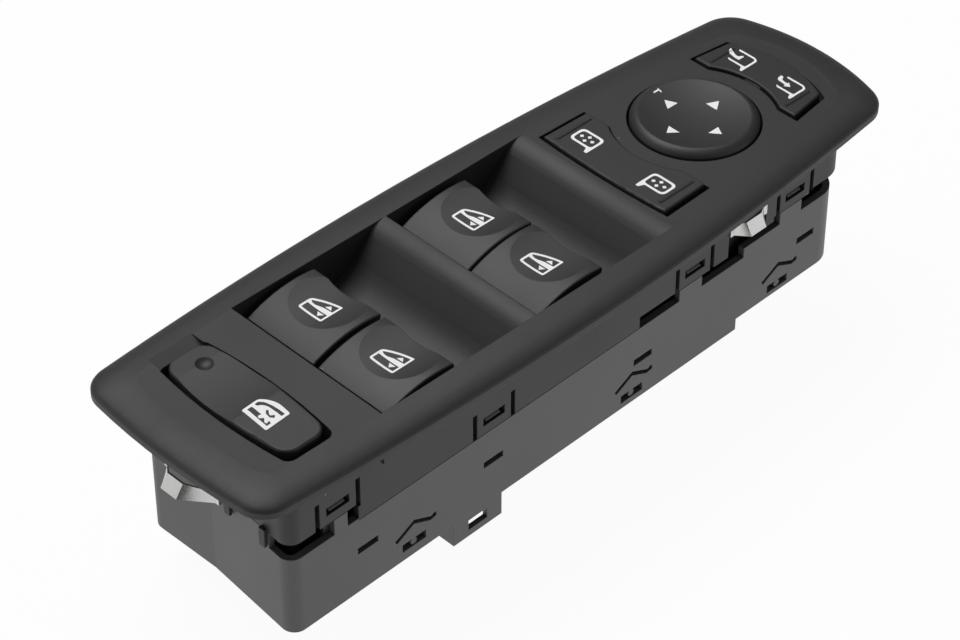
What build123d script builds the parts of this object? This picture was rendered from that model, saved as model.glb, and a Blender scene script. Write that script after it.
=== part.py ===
from build123d import *
import math
import os

# Power window switch panel for a driver's door. Lengths are in mm and angles in degrees.
# The frame sits in the plane where the bezel seats on the door panel: X runs towards the
# mirror controls, Y towards the door, Z out of the panel, with Z = 0 on the seating plane.

# Bezel
bezel_length = 211.9
bezel_half_width = 32.9
bezel_rear_half_width = 29.5
bezel_front_half_width = 25.9
widest_x = -3.0
rear_end_bow = 2.1
front_end_bow = 5.4
rear_corner_radius = 7.5
front_corner_radius = 9.0
bezel_height = 4.0
rim_thickness = 1.6
rim_slope_width = 8.6
crown_curve = [(0.0, 0.0), (0.09, 0.4), (0.22, 0.62), (0.38, 0.8), (0.62, 0.93), (0.82, 0.985), (1.0, 1.0)]
bezel_wall = 2.2
collar_wall = 1.1
collar_depth = 2.0
boss_radius = 2.9

# Window rocker wells and the finger scoops in front of them
well_wall = 1.5
well_depth = 8.0
rear_row_wall = -62.6
row_pitch = 47.3
shoulder_run = 2.4
shoulder_drop = 3.1
row_wall_thickness = 3.0
scoop_start = 19.6
scoop_slope = 48.0
scoop_floor_radius = 14.0
scoop_brow_radius = 7.0
scoop_wall = 2.0
scoop_ends = {"rear": -17.9, "front": 26.8}

# Window rockers
rocker_length = 20.4
rocker_side_gap = 1.55
rocker_rear_gap = 0.7
rear_row_gap = 1.3
front_row_gap = 0.5
rocker_rear_height = 0.4
rocker_crown_height = 3.1
rocker_crown_share = 0.4
rocker_skirt_depth = 7.2
rocker_wall = 1.6
rocker_roof = 2.8
rocker_edge_radius = 0.5
rocker_rib = 1.8
lip_thickness = 1.5
lip_overhang = 2.8
pivot_depth = 4.0
dish_radius = 36.0
dish_floor = 2.52
lip_hollow_radius = 30.0
lip_hollow = 0.8
lip_slope = 0.3
lip_root = 3.9
heel_inset = 0.5
foot_reach = 6.2
foot_size = 3.0
mirror_foot_size = 2.4
foot_height = -9.4
axle_radius = 1.5
running_clearance = 0.05
cheek_thickness = 2.4
cheek_side_gap = 0.95
cheek_half_length = 3.6
cheek_top = 3.0

# Window lock button
lock_x = -83.25
lock_inset = 2.8
lock_centre_y = -0.8
lock_end_width = 13.3
lock_bow = 1.65
lock_opening_radius = 2.4
lock_corner_radius = 4.0
lock_edge_radius = 0.6
lock_rise = 1.1
lock_gap = 0.8
lock_end_gap = 1.4
lock_skirt_depth = 5.0
lock_wall = 1.5
lock_hollow_radius = 70.0
lock_hollow_depth = 0.6
lock_recess_length = 4.2
lock_recess_start = 2.0
lock_recess_inset = 0.3
lock_recess_depth = 1.3
indicator_inset = 7.3
indicator_shift = 1.0
indicator_dimple = 0.35
indicator_dimple_radius = 3.0
stem_width = 4.0
stem_spacing = 12.0
lock_travel = 1.6

# Mirror pad and its gimbal
pad_x = 60.65
pad_radius = 15.65
pad_gap = 0.6
pad_rim_radius = 14.1
pad_rim_rise = 1.95
pad_dish_depth = 1.5
pad_dish_thickness = 0.7
pad_dish_radius = 13.6
pad_dish_share = 0.24
pad_rim_round = 0.35
pad_shoulder_rise = 0.2
pad_wall = 1.5
pad_roof_wall = 1.1
pad_skirt_depth = 3.0
pad_pivot_height = 0.3
gimbal_outer_radius = 6.6
gimbal_inner_radius = 4.2
gimbal_height = 3.0
trunnion_radius = 1.1
post_cover = 0.3
trunnion_gap = 0.4
lug_thickness = 2.2
lug_half_width = 1.9
pad_foot_reach = 12.3
root_overlap = 0.2

# Mirror select rocker and mirror fold rocker
ring_radius = 20.5
select_rear_reach = 31.85
select_front_reach = 16.8
select_rear_half = 20.7
select_front_half = 20.2
select_bow = 0.8
fold_rear_reach = 17.2
fold_front_reach = 29.05
fold_rear_half = 17.3
fold_front_half = 15.8
fold_bow = 3.7
mirror_rocker_rise = 0.8
mirror_edge_radius = 0.4
mirror_side_gap = 0.45
mirror_end_gap = 1.3
mirror_rocker_wall = 1.5
mirror_rocker_depth = 4.5
mirror_rocker_rib = 1.9
mirror_pivot_height = 0.9
mirror_post_top = 2.3
select_post_reach = 25.45
fold_post_reach = 24.2
mirror_post_width = 2.6
mirror_post_length = 6.0
mirror_rib_length = 5.0
select_foot_reach = 12.0
fold_foot_reach = 12.5
fold_foot_inset = 4.85
ridge_sink = 0.15
ridge_width = 1.0
ridge_inset = 2.4
ridge_end_inset = 1.8

# Housing, pitched against the bezel so that its underside runs level
housing_pitch = 1.35
housing_rear = -92.1
housing_rear_kink = -89.7
housing_kink_y = 4.1
housing_rear_far = -90.2
housing_front_gap = 1.6
housing_half_width = 24.1
housing_offset = 0.9
far_corner_flare = 1.6
flare_end = -84.6
flare_run = 1.4
housing_wall = 1.8
housing_corner_radius = 3.4
housing_front_radius = 7.0
housing_bottom = -44.5
step_x = 52.8
step_height = 3.3
seam_height = -22.6
rear_seam_height = -22.0
end_wall_height = -17.6
front_wall_height = -15.5
end_wall_inset = 7.1
front_seam_height = -19.8
front_seam_x = 54.2
fit_gap = 0.2
cover_thickness = 2.0
cover_inset = 1.2
dash_slots = [(-69.0, -31.9), (-29.9, -32.2), (19.6, -32.5), (77.0, -29.3)]
dash_length = 6.2
dash_width = 1.8
snap_places = [(-55.0, -34.6), (16.1, -35.5), (67.5, -32.6)]
chevron_width = 1.1
chevron_line = [(-5.6, -2.9), (0.0, 0.0), (5.1, -2.4), (6.4, -2.2), (6.4, -1.4)]
snap_window_length = 7.3
snap_window_height = 2.3
snap_window_drop = 6.1
snap_lug_radius = 0.95
snap_tongue_rise = 3.4

# Bezel skirt: each tab has a slit on both sides and a window that a hook reaches through
skirt_front_reach = 30.55
slit_width = 1.35
slit_height = 8.6
tab_places = [
    (-77.5, -12.5, -17.4, 1.2), (-29.75, -17.5, -22.6, 2.7), (36.7, -14.3, -19.1, 5.0), (71.9, -11.5, -16.1, 5.0),
]
tab_half_width = 6.0
tab_window_length = 6.8
tab_window_height = 2.4
hook_length = 4.6
hook_gap = 0.7
hook_reach = 1.5
tongue_root = 4.0
tongue_width = 5.4
tongue_thickness = 1.3
skirt_edges = [(-71.5, -17.4), (18.0, -22.6), (48.4, -19.1), (61.6, -12.9), (64.6, -17.5), (78.6, -16.1), (95.0, -15.2)]

# Connector
shroud_rear = -40.7
shroud_front = -25.2
shroud_depth = 15.0
shroud_bottom = -54.0
shroud_wall = 1.4
lock_window_length = 6.0
lock_window_height = 3.0
lock_window_inset = 2.0
header_shift = 0.75
header_gap = 0.4
header_bottom = -44.0
pin_columns = 6
pin_rows = 2
pin_pitch = 2.0
pin_size = 0.64
pin_tip = -51.0

# Carrier, circuit board and contact mat
carrier_top = -13.0
carrier_thickness = 2.0
carrier_side_gap = 3.1
carrier_rear = -86.9
carrier_front_gap = 2.0
carrier_wall = 1.4
carrier_wall_foot = -27.0
board_top = -31.5
board_thickness = 1.6
board_rear = -86.5
board_front_gap = 0.2
mat_thickness = 1.0
mat_inset = 1.6
mat_rear_inset = 12.0
mat_tail_width = 22.0
dome_height = 2.6
dome_radius = 2.4
dome_top_radius = 1.4
plunger_radius = 1.6
plunger_head_radius = 2.3
plunger_head_height = 1.7
plunger_gap = 0.3
dome_gap = 0.85
guide_radius = 2.8
guide_length = 8.0
guide_clearance = 0.1
leg_rows = [-84.6, -22.0, 70.0]
leg_inset = 2.0
leg_size = 3.2
peg_radius = 1.2
chip_size = 10.0
chip_height = 1.4
chip_x = 8.0
running_gap = 1.0
light_guide_radius = 1.6
lamp_size = 2.8
lamp_height = 1.6

# Spring clips and screws
clip_thickness = 0.5
side_clip_length = 12.8
end_clip_length = 18.2
tooth_length = 5.2
side_tooth_reach = (3.2, 1.4)
end_tooth_reach = (5.4, 3.2)
end_tooth_shift = 1.6
clip_height = 3.2
clip_foot = 1.2
clip_leg = 2.6
end_clip_inset = 14.7
end_hook_places = (-3.1, -15.8)
end_hook_width = 1.8
end_hook_thickness = 0.8
end_hook_gap = 0.25
end_hook_low = -21.6
end_clip_gap = 0.45
end_clip_height = -21.9
side_clip_x = 54.8
side_clip_height = -12.7
screw_radius = 1.25
screw_head_radius = 2.5
screw_head_height = 1.8
screw_length = 9.0
screw_slot_width = 0.7
screw_slot_depth = 0.8
rear_screw_x = -71.5
front_screw_reach = 37.25
screw_inset = 4.6

well_half_width = housing_half_width
rocker_width = well_half_width - rocker_side_gap - rear_row_gap / 2
cheek_offset = rocker_width / 2 - rocker_wall - cheek_side_gap - cheek_thickness / 2
select_rear = pad_x - select_rear_reach
select_front = pad_x - select_front_reach
select_post_x = pad_x - select_post_reach
fold_rear = pad_x + fold_rear_reach
fold_front = pad_x + fold_front_reach
fold_post_x = pad_x + fold_post_reach
fold_foot_x = fold_post_x - fold_foot_inset
skirt_front = pad_x + skirt_front_reach
housing_front = skirt_front - housing_front_gap
end_wall_width = 2 * (housing_half_width - end_wall_inset)
carrier_half_width = housing_half_width - housing_wall - carrier_side_gap
carrier_front = skirt_front - housing_wall - carrier_front_gap
board_half_width = carrier_half_width
board_front = carrier_front - board_front_gap
mat_half_width = board_half_width - mat_inset
lock_length = 2 * (housing_half_width - lock_inset)
indicator_x = lock_x + indicator_shift
indicator_y = lock_centre_y + lock_length / 2 - indicator_inset
end_clip_y = housing_half_width - end_clip_inset
leg_places = [(x, side * (carrier_half_width - leg_inset)) for x in leg_rows for side in (-1, 1)]
screw_rows = [rear_screw_x, pad_x - front_screw_reach]
screw_places = [(x, side * (carrier_half_width - screw_inset)) for x in screw_rows for side in (-1, 1)]
row_walls = {"rear": rear_row_wall, "front": rear_row_wall + row_pitch}
row_gaps = {"rear": rear_row_gap, "front": front_row_gap}
side_signs = {"left": 1, "right": -1}
ceiling = bezel_height - bezel_wall
carrier_bottom = carrier_top - carrier_thickness
dome_top = board_top + mat_thickness + dome_height
plunger_top = foot_height - plunger_gap
plunger_bottom = dome_top + dome_gap
pad_roof = bezel_height + pad_rim_rise - pad_dish_depth - pad_dish_thickness - pad_roof_wall
mirror_top = bezel_height + mirror_rocker_rise
mirror_bottom = mirror_top - mirror_rocker_depth
trunnion_span = mirror_post_width + 2 * (trunnion_gap + mirror_rocker_rib)
lock_top = bezel_height + lock_rise
lock_roof = lock_top - 2 * lock_wall
light_guide_top = lock_roof - lock_travel - trunnion_gap
stem_bottom = dome_top + lock_travel + plunger_gap
far_above = 10.0
far_aside = 60.0


def block(x_span, y_span, z_span):
    size = [span[1] - span[0] for span in (x_span, y_span, z_span)]
    middle = [(span[1] + span[0]) / 2 for span in (x_span, y_span, z_span)]
    return Pos(*middle) * Box(*size)


def around(middle, size):
    return (middle - size / 2, middle + size / 2)


def rod_x(x_span, y, z, radius):
    return Pos(sum(x_span) / 2, y, z) * Rot(0, 90, 0) * Cylinder(radius, x_span[1] - x_span[0])


def rod_y(x, y_span, z, radius):
    return Pos(x, sum(y_span) / 2, z) * Rot(90, 0, 0) * Cylinder(radius, y_span[1] - y_span[0])


def rod_z(x, y, z_span, radius):
    return Pos(x, y, sum(z_span) / 2) * Cylinder(radius, z_span[1] - z_span[0])


def prism(plan, z_span):
    return extrude(Pos(0, 0, z_span[0]) * plan, z_span[1] - z_span[0], dir=(0, 0, 1))


# A profile drawn in X and Z, carried across from the first Y to the second
def along_y(profile, y_span):
    return extrude(Pos(0, y_span[0], 0) * (Plane.XZ * profile), y_span[1] - y_span[0], dir=(0, 1, 0))


# A profile drawn in Y and Z, carried along X
def along_x(profile, x_span):
    return extrude(Pos(x_span[0], 0, 0) * (Plane.YZ * profile), x_span[1] - x_span[0], dir=(1, 0, 0))


# A shape drawn level with the housing's underside and about its middle, turned into the bezel's frame
def levelled(shape):
    return Pos(0, housing_offset, 0) * Rot(0, -housing_pitch, 0) * shape


# Plan outlines

def bezel_outline(inset):
    half = bezel_length / 2 - inset
    rear, front = -half + rear_end_bow, half - front_end_bow
    rear_half = bezel_rear_half_width - inset
    front_half = bezel_front_half_width - inset
    middle_half = bezel_half_width - inset
    face = make_face([
        ThreePointArc((rear, rear_half), (widest_x, middle_half), (front, front_half)),
        ThreePointArc((front, front_half), (half, 0), (front, -front_half)),
        ThreePointArc((front, -front_half), (widest_x, -middle_half), (rear, -rear_half)),
        ThreePointArc((rear, -rear_half), (-half, 0), (rear, rear_half)),
    ])
    corners = face.vertices().sort_by(Axis.X)
    face = fillet(corners[:2], rear_corner_radius - inset / 2)
    corners = [v for v in face.vertices() if v.X > front - 1]
    return fillet(corners, front_corner_radius - inset / 2)


def lock_outline(gap, end_gap, radius):
    half_length = lock_length / 2 - end_gap
    half_end = lock_end_width / 2 - gap
    half_middle = half_end + lock_bow
    face = make_face([
        ThreePointArc((half_end, -half_length), (half_middle, 0), (half_end, half_length)),
        Line((half_end, half_length), (-half_end, half_length)),
        ThreePointArc((-half_end, half_length), (-half_middle, 0), (-half_end, -half_length)),
        Line((-half_end, -half_length), (half_end, -half_length)),
    ])
    return Pos(lock_x, lock_centre_y) * fillet(face.vertices(), radius)


# Plan of the box under the bezel: its rear wall is bent, and its far rear corner stands out
def box_plan(front, inset):
    half = housing_half_width - inset
    flared = half + far_corner_flare
    face = make_face(Polyline(
        (housing_rear + inset, -half),
        (housing_rear_kink + inset, housing_kink_y),
        (housing_rear_far + inset, flared),
        (flare_end, flared),
        (flare_end + flare_run, half),
        (front - inset, half),
        (front - inset, -half),
        close=True,
    ))
    rear_corners = [v for v in face.vertices() if v.X < flare_end - 1 and abs(v.Y) > half - fit_gap]
    face = fillet(rear_corners, housing_corner_radius - inset)
    return fillet([v for v in face.vertices() if v.X > front - inset - fit_gap], housing_front_radius - inset)


# A mirror rocker's plan has one bowed edge, and one that follows the ring round the pad
def mirror_rocker_outline(bowed, straight, bow, side_gap, end_gap):
    outward = math.copysign(1, bowed[0] - straight[0])
    bowed_x, bowed_half = bowed[0] - outward * side_gap, bowed[1] - end_gap
    straight_x, straight_half = straight[0] + outward * side_gap, straight[1] - end_gap
    plan = make_face([
        ThreePointArc((bowed_x, -bowed_half), (bowed_x + outward * bow, 0), (bowed_x, bowed_half)),
        Line((bowed_x, bowed_half), (straight_x, straight_half)),
        Line((straight_x, straight_half), (straight_x, -straight_half)),
        Line((straight_x, -straight_half), (bowed_x, -bowed_half)),
    ])
    return plan - Pos(pad_x, 0) * Circle(ring_radius + side_gap)


def select_outline(side_gap, end_gap):
    bowed = (select_rear, select_rear_half)
    straight = (select_front, select_front_half)
    return mirror_rocker_outline(bowed, straight, select_bow, side_gap, end_gap)


def fold_outline(side_gap, end_gap):
    bowed = (fold_front, fold_front_half)
    straight = (fold_rear, fold_rear_half)
    return mirror_rocker_outline(bowed, straight, fold_bow, side_gap, end_gap)


# Places that several pieces share

def rocker_rear(row):
    return row_walls[row] + rocker_rear_gap


def pivot_x(row):
    return rocker_rear(row) + rocker_length / 2


def rocker_y(row, side):
    return side_signs[side] * (row_gaps[row] + rocker_width) / 2


def window_plungers():
    places = {}
    for row in row_walls:
        for side in side_signs:
            for action, sign in (("close", -1), ("open", 1)):
                name = f"{row}_{side}_{action}_plunger"
                places[name] = (pivot_x(row) + sign * foot_reach, rocker_y(row, side))
    return places


def mirror_plungers():
    return {
        "select_left_plunger": (select_post_x, select_foot_reach),
        "select_right_plunger": (select_post_x, -select_foot_reach),
        "fold_out_plunger": (fold_foot_x, -fold_foot_reach),
        "fold_in_plunger": (fold_foot_x, fold_foot_reach),
        "pad_up_plunger": (pad_x + pad_foot_reach, 0.0),
        "pad_down_plunger": (pad_x - pad_foot_reach, 0.0),
        "pad_left_plunger": (pad_x, pad_foot_reach),
        "pad_right_plunger": (pad_x, -pad_foot_reach),
    }


def plunger_places():
    return {**window_plungers(), **mirror_plungers()}


# Bezel

# The scoop's line, from its floor under the rocker's lip up to the bezel's face
def scoop_line(row, drop):
    angle = math.radians(scoop_slope)
    rise = bezel_height + well_depth
    bend = 1 - math.cos(angle)
    slope_length = (rise - (scoop_floor_radius + scoop_brow_radius) * bend) / math.sin(angle)
    end = Vector(scoop_ends[row], bezel_height - drop)
    brow = end - Vector(scoop_brow_radius * math.sin(angle), scoop_brow_radius * bend)
    foot = brow - Vector(slope_length * math.cos(angle), slope_length * math.sin(angle))
    floor = foot - Vector(scoop_floor_radius * math.sin(angle), scoop_floor_radius * bend)
    start = Vector(row_walls[row] + scoop_start, -well_depth - drop)
    return [
        Line(start, floor),
        TangentArc(floor, foot, tangent=(1, 0)),
        Line(foot, brow),
        TangentArc(brow, end, tangent=(math.cos(angle), math.sin(angle))),
    ], start, end


def scoop(row):
    upper, upper_start, upper_end = scoop_line(row, 0)
    lower, lower_start, lower_end = scoop_line(row, scoop_wall)
    face = make_face(upper + lower + [Line(upper_start, lower_start), Line(upper_end, lower_end)])
    return along_y(face, (-well_half_width, well_half_width))


# The open space of one well: over the scoop, over the rockers and down their rear wall
def well_space(row):
    upper, start, end = scoop_line(row, 0)
    wall = row_walls[row]
    rim = Polyline(
        end,
        (end.X, far_above),
        (wall - shoulder_run, far_above),
        (wall - shoulder_run, bezel_height),
        (wall, bezel_height - shoulder_drop),
        (wall, -well_depth),
        start,
    )
    return along_y(make_face(upper + [rim]), (-well_half_width, well_half_width))


def well_walls():
    x_span = (row_walls["rear"] - row_wall_thickness, scoop_ends["front"])
    outer = well_half_width + well_wall
    inner = well_half_width - housing_wall
    walls = []
    for sign in (-1, 1):
        upright = sorted((sign * well_half_width, sign * outer))
        ledge = sorted((sign * inner, sign * outer))
        walls.append(block(x_span, upright, (-well_depth - well_wall, ceiling)))
        walls.append(block(x_span, ledge, (-well_depth - well_wall, -well_depth)))
    for wall in row_walls.values():
        span = (wall - row_wall_thickness, wall)
        walls.append(block(span, (-well_half_width, well_half_width), (-well_depth - well_wall, bezel_height)))
    return walls


def crown():
    rise = bezel_height - rim_thickness
    sections = [(rim_slope_width * run, rim_thickness + rise * height) for run, height in crown_curve]
    top = loft([Pos(0, 0, height) * bezel_outline(inset) for inset, height in sections])
    return prism(bezel_outline(0), (0, rim_thickness)) + top


def collar(opening, wider):
    span = (-collar_depth, ceiling)
    return prism(wider, span) - prism(opening, span)


def snap_tabs():
    cuts = []
    for x, window_top, edge, riser in tab_places:
        for sign in (-1, 1):
            y_span = sorted((sign * (housing_half_width - 2 * housing_wall), sign * (housing_half_width + 1)))
            window = (window_top - tab_window_height, window_top)
            cuts.append(block(around(x, tab_window_length), y_span, window))
            for side in (-1, 1):
                slit = around(x + side * tab_half_width, slit_width)
                cuts.append(block(slit, y_span, (edge - 1, edge - 1 + slit_height)))
    return cuts


# Slots that the legs of the spring clips pass through
def clip_slots():
    deep = clip_leg + 1
    slots = []
    for side in (-1, 1):
        y = end_clip_y + side * (end_clip_length - clip_thickness) / 2
        z_span = (end_clip_height - fit_gap, end_clip_height + clip_height + fit_gap)
        slots.append(block((housing_rear - 1, housing_rear_kink + deep), around(y, clip_thickness), z_span))
        x = side_clip_x + side * (side_clip_length - clip_thickness) / 2
        z_span = (side_clip_height - fit_gap, side_clip_height + clip_height + fit_gap)
        for sign in (-1, 1):
            y_span = sorted((sign * (housing_half_width - deep), sign * (housing_half_width + 1)))
            slots.append(block(around(x, clip_thickness), y_span, z_span))
    return slots


# Small hooks of the skirt that reach down over the outside of the housing's rear wall
def end_hooks():
    hooks = []
    for y in end_hook_places:
        share = (y + housing_half_width) / (housing_kink_y + housing_half_width)
        face = housing_rear + share * (housing_rear_kink - housing_rear) - end_hook_gap
        y_span = around(y, end_hook_width)
        hooks.append(block((face - end_hook_thickness, face), y_span, (end_hook_low, skirt_edges[0][1] + 1)))
        root = (skirt_edges[0][1] + fit_gap, skirt_edges[0][1] + 1)
        hooks.append(block((face - end_hook_thickness, face + housing_wall / 2), y_span, root))
    return hooks


def skirt():
    depth = seam_height + fit_gap
    tall = (depth, far_above)
    whole_width = (-far_aside, far_aside)
    ring = prism(box_plan(skirt_front, 0), tall) - prism(box_plan(skirt_front, housing_wall), tall)
    rear = housing_rear - 1
    for front, edge in skirt_edges:
        if edge > seam_height:
            ring -= block((rear, front), whole_width, (depth - 1, edge))
        rear = front
    ring = ring - snap_tabs() - clip_slots() + end_hooks()
    under_face = block((-bezel_length, bezel_length), whole_width, (-far_aside, ceiling))
    return levelled(ring) & under_face


def lock_recess():
    rim_y = lock_centre_y + lock_length / 2
    floor = bezel_height - lock_recess_depth
    over = bezel_height + fit_gap
    ramp = make_face(Polyline(
        (rim_y - lock_recess_start, floor),
        (rim_y, floor),
        (rim_y + lock_recess_length, over),
        (rim_y - lock_recess_start, over),
        close=True,
    ))
    return along_x(ramp, around(lock_x, lock_end_width - 2 * lock_recess_inset))


def lock_opening():
    return lock_outline(0, 0, lock_opening_radius)


def bezel():
    body = crown() - prism(bezel_outline(bezel_wall), (-1, ceiling))
    body = body + skirt() + well_walls()
    for x, y in screw_places:
        body += rod_z(x, y, (carrier_top, ceiling), boss_radius)
    body += collar(lock_opening(), lock_outline(-collar_wall, -collar_wall, lock_opening_radius + collar_wall))
    body += collar(select_outline(0, 0), select_outline(-collar_wall, -collar_wall))
    body += collar(fold_outline(0, 0), fold_outline(-collar_wall, -collar_wall))
    pad_hole = Pos(pad_x, 0) * Circle(pad_radius + pad_gap)
    body += collar(pad_hole, Pos(pad_x, 0) * Circle(pad_radius + pad_gap + collar_wall))
    for row in row_walls:
        body = body - well_space(row) + scoop(row)
    openings = [lock_opening(), select_outline(0, 0), fold_outline(0, 0), pad_hole]
    for opening in openings:
        body -= prism(opening, (-collar_depth, far_above))
    body -= lock_recess()
    for x, y in screw_places:
        body -= rod_z(x, y, (carrier_top - 1, carrier_top + screw_length - 1), screw_radius + running_clearance)
    return body


# Housing and bottom cover, both drawn level

def wall_cut(profile, reach):
    both = []
    for sign in (-1, 1):
        y_span = sorted((sign * (housing_half_width - reach), sign * (housing_half_width + 1)))
        both.append(along_y(profile, y_span))
    return both


def housing_slots():
    reach = housing_wall + 1
    cuts = []
    for x, height in dash_slots:
        cuts += wall_cut(Pos(x, height) * Rectangle(dash_length, dash_width), reach)
    for x, height in snap_places:
        line = Polyline(*chevron_line)
        cuts += wall_cut(Pos(x, height) * trace(line, chevron_width), reach)
        window = Pos(x, height - snap_window_drop) * Rectangle(snap_window_length, snap_window_height)
        cuts += wall_cut(window, reach)
    return cuts


# A tongue that stands up inside the bezel's skirt, with a hook through the tab's window
def hook_tongue(x, window_top, sign):
    inner = housing_half_width - housing_wall
    face = inner - fit_gap
    width = around(x, tongue_width)
    low = seam_height - 1 - tongue_root
    tongue = block(width, (face - tongue_thickness, face), (low, window_top + 1))
    root = block(width, (face - tongue_thickness, inner + housing_wall / 2), (low, seam_height - 1))
    hook_low = window_top - tab_window_height + hook_gap
    hook = make_face(Polyline(
        (face - fit_gap, hook_low),
        (inner + hook_reach, hook_low),
        (face - fit_gap, window_top - fit_gap),
        close=True,
    ))
    shape = tongue + root + along_x(hook, around(x, hook_length))
    return shape if sign > 0 else mirror(shape, Plane.XZ)


# Where the skirt stops short, the housing's own wall rises to meet the tab
def wall_riser(x, edge, riser, sign):
    y_span = sorted((sign * (housing_half_width - housing_wall), sign * housing_half_width))
    return block((x - riser, x + tongue_width / 2), y_span, (seam_height - 1, edge - fit_gap))


# Both end walls stand higher than the seam between their corners
def rear_cut():
    rear_end = skirt_edges[0][0]
    cut = block((housing_rear - 1, rear_end), (-far_aside, far_aside), (rear_seam_height, 0))
    return cut - block((housing_rear - 1, carrier_rear), around(0, end_wall_width), (rear_seam_height, end_wall_height))


def front_cut():
    cut = block((front_seam_x, housing_front + 1), (-far_aside, far_aside), (front_seam_height, 0))
    high_wall = (front_seam_height - 1, front_wall_height + 1)
    return cut - block((carrier_front, housing_front + 2), around(0, end_wall_width), high_wall)


def housing():
    tall = (housing_bottom, front_wall_height)
    whole_width = (-far_aside, far_aside)
    body = prism(box_plan(housing_front, 0), tall) - prism(box_plan(housing_front, housing_wall), tall)
    body -= rear_cut()
    body -= block((skirt_edges[0][0], front_seam_x), whole_width, (seam_height, 0))
    body -= front_cut()
    body -= block((step_x, housing_front + 1), whole_width, (housing_bottom - 1, housing_bottom + step_height))
    body = body - housing_slots() - clip_slots()
    for sign in (-1, 1):
        for x, window_top, edge, riser in tab_places:
            body += hook_tongue(x, window_top, sign)
            if edge > seam_height:
                body += wall_riser(x, edge, riser, sign)
    return levelled(body)


def cover_plan():
    return box_plan(housing_front, housing_wall + fit_gap)


def cover_floor():
    low = housing_bottom + cover_inset
    high = low + step_height
    whole_width = (-housing_half_width, housing_half_width)
    rear_part = prism(cover_plan(), (low, low + cover_thickness))
    rear_part -= block((step_x, housing_front), whole_width, (low - 1, high))
    front_part = prism(cover_plan(), (high, high + cover_thickness))
    front_part -= block((housing_rear, step_x - cover_thickness), whole_width, (high - 1, high + 2 * cover_thickness))
    riser = block(
        (step_x - cover_thickness, step_x),
        (-housing_half_width + housing_wall + fit_gap, housing_half_width - housing_wall - fit_gap),
        (low, high + cover_thickness),
    )
    return rear_part + front_part + riser


def snap_lug(x, height, sign):
    inner = housing_half_width - housing_wall - fit_gap
    centre = height - snap_window_drop
    floor = housing_bottom + cover_inset + (step_height if x > step_x else 0)
    tongue = block(around(x, tongue_width), (inner - tongue_thickness, inner), (floor, centre + snap_tongue_rise))
    lug = rod_y(x, (inner - tongue_thickness / 2, inner + housing_wall), centre, snap_lug_radius)
    shape = tongue + lug
    return shape if sign > 0 else mirror(shape, Plane.XZ)


def shroud_span():
    near = -(housing_half_width - housing_wall - fit_gap)
    return (near, near + shroud_depth)


def base_cover():
    body = cover_floor()
    for sign in (-1, 1):
        for x, height in snap_places:
            body += snap_lug(x, height, sign)
    near, far = shroud_span()
    top = housing_bottom + cover_inset + cover_thickness
    body += block((shroud_rear, shroud_front), (near, far), (shroud_bottom, top))
    inside_x = (shroud_rear + shroud_wall, shroud_front - shroud_wall)
    body -= block(inside_x, (near + shroud_wall, far - shroud_wall), (shroud_bottom - 1, top + 1))
    window_x = around((shroud_rear + shroud_front) / 2, lock_window_length)
    window_z = (shroud_bottom + lock_window_inset, shroud_bottom + lock_window_inset + lock_window_height)
    body -= block(window_x, (near - 1, near + shroud_wall + 1), window_z)
    return levelled(body)


# Window rockers

def rocker_profile(row):
    rear = rocker_rear(row)
    front = rear + rocker_length
    crown_point = (rear + rocker_crown_share * rocker_length, rocker_crown_height)
    lip = (front, rocker_crown_height)
    under_lip = (front - lip_slope, rocker_crown_height - lip_thickness)
    heel = (front - lip_overhang, -rocker_skirt_depth)
    hollow = (front - lip_overhang, rocker_crown_height - lip_root)
    rear_heel = (rear + heel_inset, -rocker_skirt_depth)
    return make_face([
        ThreePointArc((rear, rocker_rear_height), crown_point, lip),
        Line(lip, under_lip),
        Spline(under_lip, hollow, heel, tangents=[(-1, -0.4), (0, -1)]),
        Line(heel, rear_heel),
        Line(rear_heel, (rear, rocker_rear_height)),
    ])


def rocker_inside(row, middle):
    rear = rocker_rear(row)
    front = rear + rocker_length - lip_overhang
    start = rear + rocker_wall + heel_inset
    arch = ThreePointArc(
        (start, rocker_rear_height - rocker_roof),
        (rear + rocker_crown_share * rocker_length, rocker_crown_height - rocker_roof),
        (front - rocker_wall, rocker_crown_height - rocker_roof),
    )
    low = -rocker_skirt_depth - 1
    face = make_face([
        arch,
        Polyline(arch @ 1, (front - rocker_wall, low), (start, low), arch @ 0),
    ])
    return along_y(face, around(middle, rocker_width - 2 * rocker_wall))


def dished(cap, row, middle):
    rear = rocker_rear(row)
    front = rear + rocker_length
    dish = rod_x((rear - 5, front + 5), middle, dish_floor + dish_radius, dish_radius)
    lip_x = front - lip_hollow + lip_hollow_radius
    lip_cut = rod_z(lip_x, middle, (-pivot_depth, far_above), lip_hollow_radius)
    return cap - dish - lip_cut


def window_rocker(row, side):
    middle = rocker_y(row, side)
    width = around(middle, rocker_width)
    cap = along_y(rocker_profile(row), width)
    long_edges = [e for e in cap.edges() if e.center().Z > 1 and e.length > rocker_length - 1]
    cap = fillet(long_edges, rocker_edge_radius)
    cap = dished(cap, row, middle)
    pivot = pivot_x(row)
    rib_x = (pivot - foot_reach - foot_size / 2, pivot + foot_reach + foot_size / 2)
    rib = block(rib_x, around(middle, rocker_rib), (-rocker_skirt_depth, 1.0))
    feet = []
    for sign in (-1, 1):
        x_span = around(pivot + sign * foot_reach, foot_size)
        feet.append(block(x_span, around(middle, foot_size), (foot_height, 0.4)))
    body = cap - rocker_inside(row, middle) + rib + feet
    return body - rod_y(pivot, (middle - rocker_width, middle + rocker_width), -pivot_depth,
                        axle_radius + running_clearance)


def rocker_axle(row):
    reach = rocker_width + row_gaps[row] / 2
    return rod_y(pivot_x(row), (-reach, reach), -pivot_depth, axle_radius)


# Window lock button

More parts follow.
